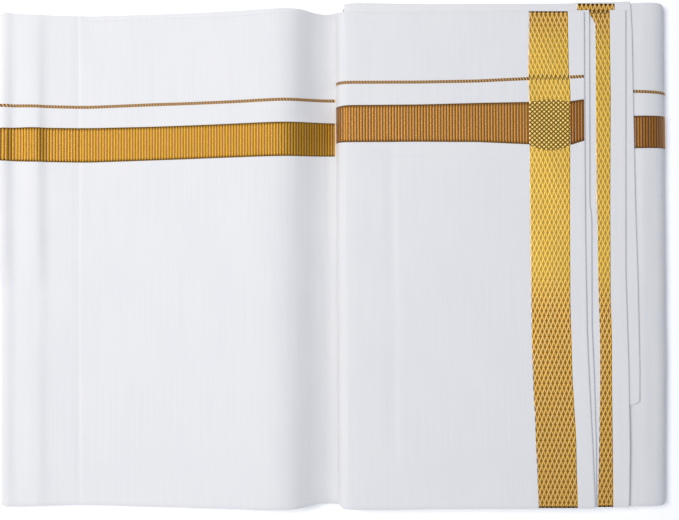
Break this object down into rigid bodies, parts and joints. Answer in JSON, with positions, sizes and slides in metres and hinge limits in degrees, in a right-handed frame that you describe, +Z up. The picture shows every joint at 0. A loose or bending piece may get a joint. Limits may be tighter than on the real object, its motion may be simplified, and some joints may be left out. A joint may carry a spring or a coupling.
{
  "type": "folded dhoti cloth with woven gold borders",
  "caption": "White cotton dhoti, folded into a pack and opened like a book, with ribbed gold bands, thin gold lines and lattice cross stripes woven in.",
  "frame": {"origin": "centre of the pack's outline, on the surface it lies on", "axes": "+X to the right across the open pack, +Y to its back edge, where the borders are nearest, +Z up"},
  "size_m": [0.4313, 0.3243, 0.0214],
  "materials": {
    "cotton": "bleached plain-weave cotton with a soft matt sheen",
    "zari": "woven gold-coloured metallic thread, ribbed or in a lattice, with a silky gloss"
  },
  "bodies": {
    "root": {"outer_layers": "cotton", "left_layers": "cotton", "left_leaf": "cotton", "left_band": "zari", "left_line": "zari", "right_layers": "cotton", "base_leaf": "cotton", "base_band": "zari", "base_line": "zari", "under_leaf": "cotton", "under_stripe": "zari", "second_leaf": "cotton", "second_stripe": "zari", "inner_leaf": "cotton", "top_leaf": "cotton", "top_band": "zari", "top_line": "zari", "top_band_end": "zari", "top_line_end": "zari", "top_stripe": "zari"}
  },
  "joints": []
}
